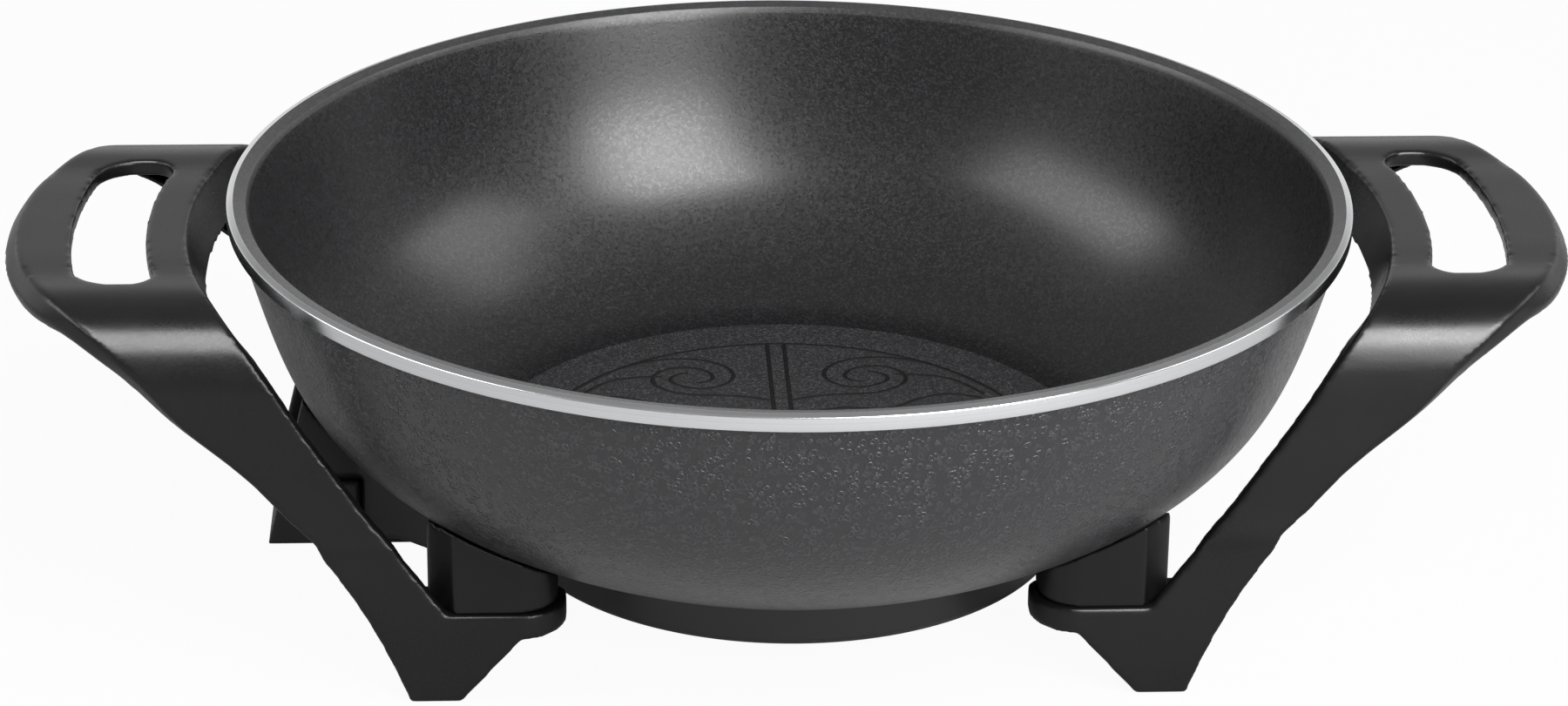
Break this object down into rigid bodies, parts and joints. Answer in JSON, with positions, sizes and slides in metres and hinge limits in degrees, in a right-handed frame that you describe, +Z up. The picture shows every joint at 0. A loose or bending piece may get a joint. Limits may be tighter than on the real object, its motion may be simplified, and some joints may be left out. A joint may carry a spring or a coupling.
{
  "type": "electric wok",
  "caption": "Electric wok: cast non-stick pan with a cast-in heater on two moulded handle-and-leg frames, with a plug-in probe inlet under one handle.",
  "frame": {"origin": "on the floor under the middle of the pan, centre of the bounding box's bottom", "axes": "+Z up along the pan's axis, +X towards the handle without the terminals, -X towards the handle over the terminals, -Y towards the viewer of the picture"},
  "size_m": [0.4676, 0.336, 0.1263],
  "materials": {
    "pan": "dark non-stick inside, pebbled dark enamel outside, bright turned rim",
    "frame_phenolic": "satin black moulded phenolic",
    "pillar_phenolic": "satin black moulded phenolic",
    "guard_phenolic": "satin black moulded phenolic",
    "cover_paint": "black heat-proof paint",
    "foot_rubber": "matte black rubber",
    "heater_sheath": "heat-tinted steel tube",
    "shield_foil": "bright rolled sheet",
    "pad_fibre": "pale mineral fibre board",
    "terminal_steel": "polished stainless",
    "seal_ceramic": "white ceramic",
    "screw_steel": "zinc plated steel"
  },
  "bodies": {
    "root": {"wok_pan": "pan", "heating_element": "heater_sheath", "base_cover": "cover_paint", "insulation_pad": "pad_fibre", "heat_shield": "shield_foil", "cover_screws": "screw_steel", "terminal_pins": "terminal_steel", "terminal_seals": "seal_ceramic", "probe_guard": "guard_phenolic", "guard_screws": "screw_steel", "handle_frame_right": "frame_phenolic", "handle_frame_left": "frame_phenolic", "leg_washers": "screw_steel", "leg_screws": "screw_steel", "pillar_front_right": "pillar_phenolic", "foot_pad_front_right": "foot_rubber", "pillar_rear_right": "pillar_phenolic", "foot_pad_rear_right": "foot_rubber", "pillar_front_left": "pillar_phenolic", "foot_pad_front_left": "foot_rubber", "pillar_rear_left": "pillar_phenolic", "foot_pad_rear_left": "foot_rubber"}
  },
  "joints": []
}
